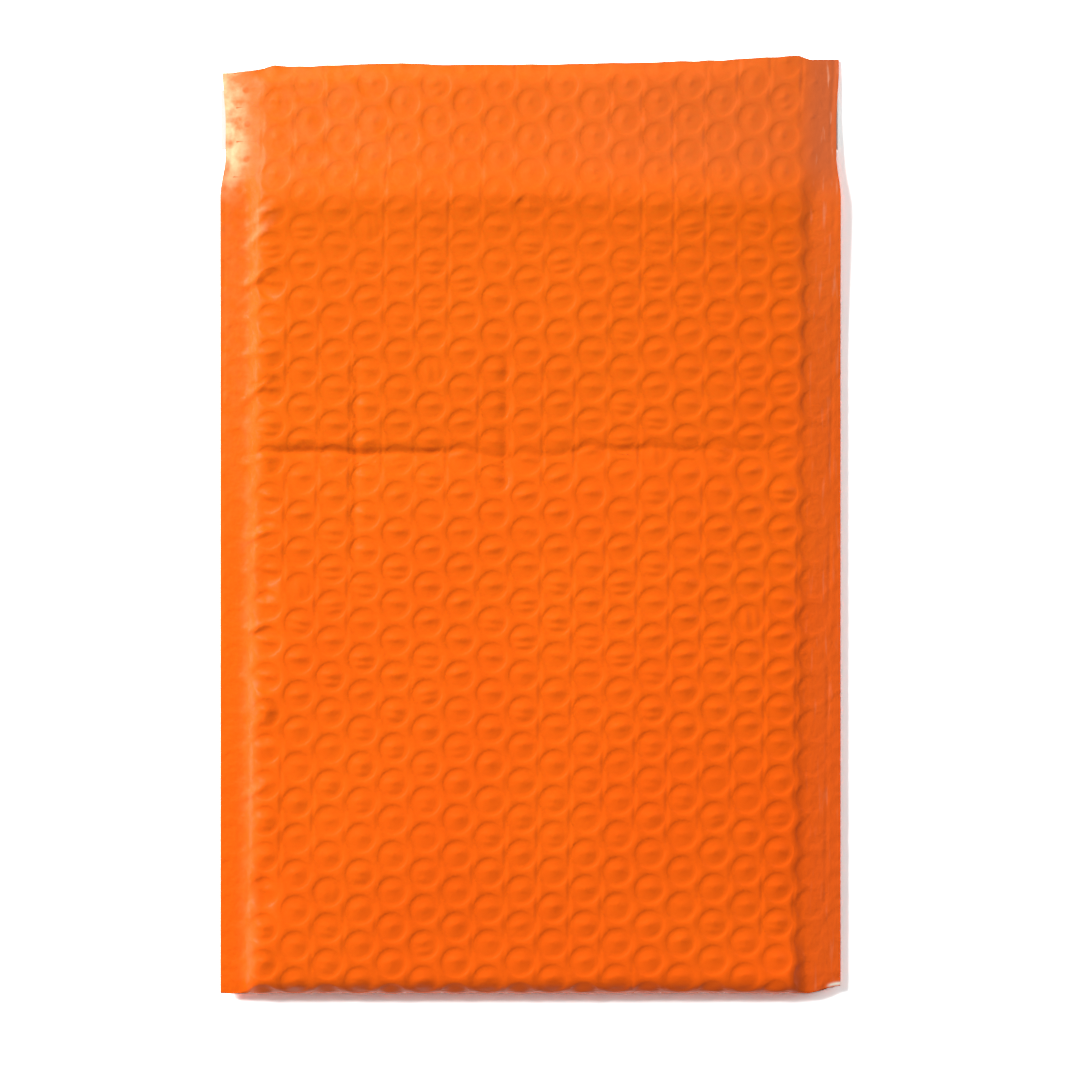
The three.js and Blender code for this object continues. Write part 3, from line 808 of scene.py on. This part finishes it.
def mark_tones(mesh, x, s, inner):
    """Where the film is pressed, lighter or scuffed, and where sheen, highlights and shade are painted on it,
    and how far off the dots of the flap's margin lie.
    """
    on_flap = ease(s, *TONE_CHANGE) * (1 - inner)
    on_upper_wall = (s > FOLD_END) * (1 - inner)
    from_fold = s - UPPER_START
    write(mesh, "pressed", 1 - ease(swell(x, s), 0.05, 0.5))

    # Pale on the flap's left margin, thin film over the liner, with painted glare; painted sheen across the
    # flap, more on the left
    haze_and_sheen = FLAP_HAZE_AND_SHEEN[0] + FLAP_HAZE_AND_SHEEN[1] * ease(-x, 0, WELD_X)
    on_flap_margin = np.maximum(PALE_MARGIN * ease(-x, WELD_X - 1, EDGE_X), haze_and_sheen) * on_flap
    # A little paler on the left weld towards the mouth
    on_weld = PALE_WELD * ease(-x, WELD_X - 3, EDGE_X) * ease(s, MOUTH - 120, MOUTH) * (1 - inner)
    # Painted highlights on the lit left shoulder and on the sides of the slanting folds that face the key
    tufts = 0.6 + 0.4 * drift(x, s, *PUCKER_WAVES)
    shoulder_highlight = SHOULDER_HIGHLIGHT * tufts * bell(x + FOOT_LEFT - 2, 2.2) * on_upper_wall * (s < MOUTH)
    folds_highlight = FOLDS_HIGHLIGHT * mouth_folds_at(x, from_fold - FOLDS_HIGHLIGHT_UP) * on_upper_wall
    thinned_and_sheen = np.maximum(on_flap_margin, on_weld) + np.maximum(shoulder_highlight, folds_highlight)
    write(mesh, "thinned_and_sheen", thinned_and_sheen)

    place = read(mesh, "bubble_place", 3)
    dotted = (x < -FLAP_FLAT_FROM) & (x > 3 - EDGE_X) & (s > MOUTH + 6) & (inner < 0.5)
    write(mesh, "from_dot", np.where(dotted, np.hypot(place[:, 0], place[:, 1]), ROW_PITCH))

    # Scuffs and painted shade down the right weld, most on the flap's right margin; painted shade across the
    # flap, deeper to the right
    down_the_weld = SCUFF_AND_SHADE_WELD[0] + SCUFF_AND_SHADE_WELD[1] * ease(s, MOUTH - 90, MOUTH)
    scuff_and_shade = ease(x, WELD_X - 8, EDGE_X - 4) * (down_the_weld + SCUFF_AND_SHADE_MARGIN * on_flap)
    scuff_and_shade = np.maximum(scuff_and_shade, FLAP_SHADE_RIGHT * on_flap * ease(x, -50, 70))
    write(mesh, "scuffed_and_shade", scuff_and_shade * (1 - inner))


def pouch_piece(film):
    sixth = bubble_sixth()
    web_mesh = grown_mesh("web", *bubble_web_tree(sixth, film))
    bpy.data.objects.remove(sixth)
    draw_to_pitch(web_mesh)
    web = trimmed(web_mesh)
    line_inside(web, border_of(web))
    mesh = bpy.data.meshes.new("bubble_pouch")
    web.to_mesh(mesh)
    web.free()
    flat = places_of(mesh)
    x, s = flat[:, 0], flat[:, 1]
    inner = read(mesh, "inner")
    relief = bubble_relief(mesh, s)
    mark_wrinkles(mesh, x, s, 1 - inner)
    mark_gathers(mesh, x, s, 1 - inner)
    mark_tones(mesh, x, s, inner)
    places = formed(x, s, relief, inner)
    put(mesh, places)
    mark_corner_glint(mesh, places, s)
    mesh.materials.clear()
    mesh.materials.append(film)
    mesh.polygons.foreach_set("use_smooth", np.ones(len(mesh.polygons), bool))
    mesh.update()
    mesh.validate()
    piece = bpy.data.objects.new("bubble_pouch", mesh)
    bpy.context.scene.collection.objects.link(piece)
    return piece


# Materials

def new_material(name):
    material = bpy.data.materials.new(name)
    material.use_nodes = True
    tree = material.node_tree
    tree.nodes.clear()
    return material, tree


# Film: sizes of its patterns, widths of its lines and heights of its bump
TONE_SIZE = 45.0
SHADE_SLANT = (-0.8, 0.6, 0.0)  # painted shade: lighter towards the key, at the left end of the flap
SHADE_SLANT_RUN = 150.0  # from the middle to either end of that
# painted shade towards the flap, against the key's stronger light there: where it starts, and where it is
# full
FLAP_SHADE_FROM = -30.0
FLAP_SHADE_TO = 110.0
GRAIN_SIZE = 0.9
BLOTCH_SIZE = 4.0
RUB_SIZE = 1.3
LINE_FADE_SIZE = 28.0
CRINKLE_SIZE = 2.4
SKIN_SIZE = 1.6
CORNER_WIDTH = 0.5
GATHER_WIDTH = 1.6
LINE_WIDTH = 0.7
DOT_EDGE = (1.3, 0.7)
SKIN_BUMP = 0.08
CRINKLE_BUMP = 0.22
WRINKLE_BUMP = 0.46
GATHER_BUMP = 0.5
LINE_BUMP = 0.14


def film_material():
    """Co-extruded polyethylene film, blown and laminated to bubble film: satin and deep orange, with short
    wrinkles where the bubbles draw it and a smoother shine where it was pressed flat. Painted into its
    colour:
    shade away from the key and towards the flap, sheen and highlights on the left and on lit slopes, a glint
    at the bent corner; the flap's left margin is also lighter where thin film lies over the liner."""
    material, tree = new_material("blown polyethylene film")
    coords = add_node(tree, "ShaderNodeTexCoord").outputs["Object"]
    marks = {}
    for name in ("pressed", "thinned_and_sheen", "scuffed_and_shade", "column_place", "from_dot"):
        marks[name] = add_node(tree, "ShaderNodeAttribute", attribute_name=name).outputs["Fac"]
    for name in ("wrinkle", "gather", "corner"):
        vector = add_node(tree, "ShaderNodeAttribute", attribute_name=name).outputs["Vector"]
        marks[name] = add_node(tree, "ShaderNodeSeparateXYZ", {0: vector}).outputs
    noise = {}
    for name, size, detail in (("tone", TONE_SIZE, 2.0), ("grain", GRAIN_SIZE, 3.0),
                               ("blotch", BLOTCH_SIZE, 3.0), ("fade", LINE_FADE_SIZE, 1.0),
                               ("crinkle", CRINKLE_SIZE, 3.0), ("skin", SKIN_SIZE, 3.0)):
        noise[name] = add_node(tree, "ShaderNodeTexNoise",
                               {"Vector": coords, "Scale": 1 / (size * MM), "Detail": detail})

    # Lines as soft ridges: 1 along the line, dying out within a width or two of it
    column = add_node(tree, "ShaderNodeMath", {0: marks["column_place"]}, operation="FRACT")
    column = add_node(tree, "ShaderNodeMath", {0: column, 1: 0.5}, operation="SUBTRACT")
    column = add_node(tree, "ShaderNodeMath", {0: column, 1: COLUMN_PITCH}, operation="MULTIPLY")
    ridge = {}
    for name, off, width in (("corner", marks["corner"]["X"], CORNER_WIDTH),
                             ("first wrinkle", marks["wrinkle"]["X"], 1.0),
                             ("second wrinkle", marks["wrinkle"]["Y"], 1.0),
                             ("gather", marks["gather"]["X"], GATHER_WIDTH),
                             ("column", column, LINE_WIDTH)):
        square = add_node(tree, "ShaderNodeMath", {0: off, 1: off}, operation="MULTIPLY")
        ridge[name] = add_node(tree, "ShaderNodeMath", {0: math.exp(-1 / width ** 2), 1: square},
                               operation="POWER")

    # Painted shade, deeper towards the right end of the fold, away from the key, with a random drift in tone
    # over a few centimetres
    slant = add_node(tree, "ShaderNodeVectorMath", {0: coords, 1: SHADE_SLANT}, operation="DOT_PRODUCT")
    slant = add_node(tree, "ShaderNodeMapRange",
                     {"Value": slant.outputs["Value"], "From Min": -SHADE_SLANT_RUN * MM, "From Max": SHADE_SLANT_RUN * MM,
                      "To Min": -0.5, "To Max": 0.35})
    depth = add_node(tree, "ShaderNodeMath", {0: noise["tone"], 1: slant}, operation="ADD", use_clamp=True)
    colour = add_node(tree, "ShaderNodeMix", {"Factor": depth, 6: linear("#fa5f01"), 7: linear("#fb6f02")},
                      data_type="RGBA")

    # Painted shade that dulls the red towards the flap, where the key lights it too strongly, with a fine
    # grain
    along = add_node(tree, "ShaderNodeSeparateXYZ", {0: coords}).outputs["Y"]
    flap_shade = add_node(tree, "ShaderNodeMapRange", {"Value": along, "From Min": FLAP_SHADE_FROM * MM,
                                                 "From Max": FLAP_SHADE_TO * MM, "To Max": 0.5})
    grain = add_node(tree, "ShaderNodeMapRange",
                     {"Value": noise["grain"], "From Min": 0.35, "From Max": 0.65, "To Max": 0.3})

    # Pale in patches: thin film over the liner, and painted sheen, glare and highlights; small dots where air
    # was pressed out of bubbles
    patches = add_node(tree, "ShaderNodeMapRange", {"Value": noise["blotch"], "From Min": 0.35,
                                                    "From Max": 0.65, "To Min": 0.25, "To Max": 1.0})
    pale = add_node(tree, "ShaderNodeMath", {0: marks["thinned_and_sheen"], 1: patches}, operation="MULTIPLY")
    dots = add_node(tree, "ShaderNodeMapRange", {"Value": marks["from_dot"], "From Min": DOT_EDGE[0],
                                                 "From Max": DOT_EDGE[1], "To Max": 0.8})

    # Streaks where the right margin was rubbed, and a painted white glint where the corner is bent
    drawn = add_node(tree, "ShaderNodeMapping", {"Vector": coords, "Scale": (1.0, 0.12, 1.0)})
    rubs = add_node(tree, "ShaderNodeTexNoise",
                    {"Vector": drawn, "Scale": 1 / (RUB_SIZE * MM), "Detail": 2.0})
    rubs = add_node(tree, "ShaderNodeMapRange",
                    {"Value": rubs, "From Min": 0.6, "From Max": 0.8, "To Max": 0.7})
    for share in ("scuffed_and_shade", "pressed"):
        rubs = add_node(tree, "ShaderNodeMath", {0: rubs, 1: marks[share]}, operation="MULTIPLY")
    white = add_node(tree, "ShaderNodeMath", {0: ridge["corner"], 1: marks["corner"]["Y"]},
                     operation="MULTIPLY")

    layers = ((flap_shade, "#dc6606"), (grain, "#fa5c01"), (pale, "#ffd6a2"), (dots, "#d4651c"),
              (marks["scuffed_and_shade"], "#c96031"), (rubs, "#f0b494"), (white, "#fff4e2"))
    for share, tone in layers:
        colour = add_node(tree, "ShaderNodeMix", {"Factor": share, 6: colour, 7: linear(tone)},
                          data_type="RGBA")

    # One or two wrinkles in the skin of a bubble, gathers beside the weld, lines between the columns that
    # come and go, and a fine crinkle where the film was pressed
    wrinkles = add_node(tree, "ShaderNodeMath",
                        {0: ridge["second wrinkle"], 1: 0.55, 2: ridge["first wrinkle"]},
                        operation="MULTIPLY_ADD")
    wrinkles = add_node(tree, "ShaderNodeMath", {0: wrinkles, 1: marks["wrinkle"]["Z"]}, operation="MULTIPLY")
    gathers = add_node(tree, "ShaderNodeMath", {0: ridge["gather"], 1: marks["gather"]["Y"]},
                       operation="MULTIPLY")
    shown = add_node(tree, "ShaderNodeMapRange", {"Value": noise["fade"], "From Min": 0.38, "From Max": 0.62})
    lines = add_node(tree, "ShaderNodeMath", {0: ridge["column"], 1: shown}, operation="MULTIPLY")
    crinkle = add_node(tree, "ShaderNodeMath", {0: noise["crinkle"], 1: 0.5}, operation="SUBTRACT")
    crinkles = add_node(tree, "ShaderNodeMath", {0: crinkle, 1: marks["pressed"]}, operation="MULTIPLY")

    bump = add_node(tree, "ShaderNodeBump", {"Distance": SKIN_BUMP * MM, "Height": noise["skin"]})
    for height, form, sunk in ((CRINKLE_BUMP, crinkles, False), (WRINKLE_BUMP, wrinkles, False),
                               (GATHER_BUMP, gathers, False), (LINE_BUMP, lines, True)):
        bump = add_node(tree, "ShaderNodeBump", {"Distance": height * MM, "Height": form, "Normal": bump},
                        invert=sunk)

    gloss = add_node(tree, "ShaderNodeMapRange", {"Value": marks["pressed"], "To Min": 0.41, "To Max": 0.38})
    shader = add_node(tree, "ShaderNodeBsdfPrincipled",
                      {"Base Color": colour, "Roughness": gloss, "IOR": 1.51, "Normal": bump})
    add_node(tree, "ShaderNodeOutputMaterial", {"Surface": shader})
    return material


def liner_material():
    """Siliconised kraft paper, bleached and calendered: near white, faintly fibrous, dully shining."""
    material, tree = new_material("siliconised release paper")
    coords = add_node(tree, "ShaderNodeTexCoord").outputs["Object"]
    drawn = add_node(tree, "ShaderNodeMapping", {"Vector": coords, "Scale": (0.2, 1.0, 1.0)})
    fibres = add_node(tree, "ShaderNodeTexNoise", {"Vector": drawn, "Scale": 1 / (0.6 * MM), "Detail": 4.0})
    colour = add_node(tree, "ShaderNodeMix", {"Factor": fibres, 6: linear("#f4f3ef"), 7: linear("#e9e7e0")},
                      data_type="RGBA")
    bump = add_node(tree, "ShaderNodeBump", {"Strength": 0.5, "Distance": 0.02 * MM, "Height": fibres})
    shader = add_node(tree, "ShaderNodeBsdfPrincipled",
                      {"Base Color": colour, "Roughness": 0.4, "IOR": 1.45, "Normal": bump})
    add_node(tree, "ShaderNodeOutputMaterial", {"Surface": shader})
    return material


def hot_melt_material():
    """Pressure-sensitive hot melt, laid on by a slot die: clear to honey coloured, wet-looking, with
    fine streaks along its length."""
    material, tree = new_material("slot-coated hot melt")
    coords = add_node(tree, "ShaderNodeTexCoord").outputs["Object"]
    drawn = add_node(tree, "ShaderNodeMapping", {"Vector": coords, "Scale": (0.05, 1.0, 1.0)})
    streaks = add_node(tree, "ShaderNodeTexNoise", {"Vector": drawn, "Scale": 1 / (1.2 * MM), "Detail": 3.0})
    colour = add_node(tree, "ShaderNodeMix", {"Factor": streaks, 6: linear("#e9dfc2"), 7: linear("#d8c698")},
                      data_type="RGBA")
    bump = add_node(tree, "ShaderNodeBump", {"Strength": 0.6, "Distance": 0.05 * MM, "Height": streaks})
    shader = add_node(tree, "ShaderNodeBsdfPrincipled",
                      {"Base Color": colour, "Roughness": 0.18, "IOR": 1.5, "Normal": bump})
    add_node(tree, "ShaderNodeOutputMaterial", {"Surface": shader})
    return material


# Floor, light and camera

PHOTO_WIDTH = 1080  # pixels, and as many high
MM_PER_PIXEL = 0.29
VIEW_X, VIEW_Y = 2.75, -4.2  # what the middle of the picture looks at
CAMERA_HEIGHT = 1300.0
SENSOR = 36.0
FLOOR_HALF = 3.0  # metres, as are the next ones
FLOOR_Z = -0.00005  # just clear of the film that lies on it
KEY_PLACE = (-1.56, 1.1, 1.25)
KEY_SIZE = 1.08
FILL_PLACE = (0.9, 0.3, 0.6)
FILL_SIZE = 0.8
KEY_WATTS = 84.5
SHEEN_WATTS = 15.0  # the key's shine on the film is a lamp of its own, because all of it is too white
FILL_WATTS = 3.2
ROOM_LIGHT = 0.11
FLOOR_SEEN = 2.8  # grey value of the floor for the camera and in reflections, brighter than any paper


def floor_material():
    """Plain white paper. The camera and the film's shine see it over four times as bright as it lights the
    film, so that it comes out white and only the shadow is left on it."""
    material, tree = new_material("white studio paper")
    ray = add_node(tree, "ShaderNodeLightPath").outputs
    seen = add_node(tree, "ShaderNodeMath", {0: ray["Is Camera Ray"], 1: ray["Is Glossy Ray"]},
                    operation="MAXIMUM")
    seen = add_node(tree, "ShaderNodeMath", {0: seen, 1: ray["Is Transmission Ray"]}, operation="MAXIMUM")
    paper = add_node(tree, "ShaderNodeBsdfDiffuse", {"Color": linear("#d2d2d2")})
    bright = add_node(tree, "ShaderNodeBsdfDiffuse", {"Color": [FLOOR_SEEN] * 3 + [1.0]})
    shader = add_node(tree, "ShaderNodeMixShader", {0: seen, 1: paper, 2: bright})
    add_node(tree, "ShaderNodeOutputMaterial", {"Surface": shader})
    return material


def add_floor():
    mesh = bpy.data.meshes.new("floor")
    corners = [(-FLOOR_HALF, -FLOOR_HALF, FLOOR_Z), (FLOOR_HALF, -FLOOR_HALF, FLOOR_Z),
               (FLOOR_HALF, FLOOR_HALF, FLOOR_Z), (-FLOOR_HALF, FLOOR_HALF, FLOOR_Z)]
    mesh.from_pydata(corners, [], [(0, 1, 2, 3)])
    mesh.materials.append(floor_material())
    floor = bpy.data.objects.new("floor", mesh)
    bpy.context.scene.collection.objects.link(floor)


def add_softbox(name, place, size, watts, lights, shines):
    data = bpy.data.lights.new(name, "AREA")
    data.shape = "DISK"
    data.size = size
    data.energy = watts
    lamp = bpy.data.objects.new(name, data)
    lamp.location = place
    lamp.rotation_mode = "QUATERNION"
    lamp.rotation_quaternion = (-Vector(place)).to_track_quat("-Z", "Y")
    lamp.visible_camera = False
    lamp.visible_diffuse = lights
    lamp.visible_glossy = shines
    bpy.context.scene.collection.objects.link(lamp)


def add_world():
    world = bpy.data.worlds.new("pale room")
    world.use_nodes = True
    tree = world.node_tree
    tree.nodes.clear()
    sky = add_node(tree, "ShaderNodeBackground", {"Color": linear("#ffffff"), "Strength": ROOM_LIGHT})
    add_node(tree, "ShaderNodeOutputWorld", {"Surface": sky})
    bpy.context.scene.world = world


def add_camera():
    data = bpy.data.cameras.new("camera")
    data.sensor_width = SENSOR
    data.lens = SENSOR * (CAMERA_HEIGHT - WELD_HEIGHT) / (PHOTO_WIDTH * MM_PER_PIXEL)
    camera = bpy.data.objects.new("camera", data)
    camera.location = (VIEW_X * MM, VIEW_Y * MM, CAMERA_HEIGHT * MM)
    bpy.context.scene.collection.objects.link(camera)
    bpy.context.scene.camera = camera


film = film_material()
pouch = pouch_piece(film)
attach(pouch, "root")
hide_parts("pouch")

for node, finish in (("release_liner", liner_material()), ("adhesive_strip", hot_melt_material())):
    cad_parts[node].data.materials.clear()
    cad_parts[node].data.materials.append(finish)

add_floor()
add_softbox("key softbox", KEY_PLACE, KEY_SIZE, KEY_WATTS, lights=True, shines=False)
add_softbox("dim sheen of the key", KEY_PLACE, KEY_SIZE, SHEEN_WATTS, lights=False, shines=True)
add_softbox("fill softbox", FILL_PLACE, FILL_SIZE, FILL_WATTS, lights=True, shines=False)
add_world()
add_camera()
bpy.context.scene.view_settings.view_transform = "Standard"
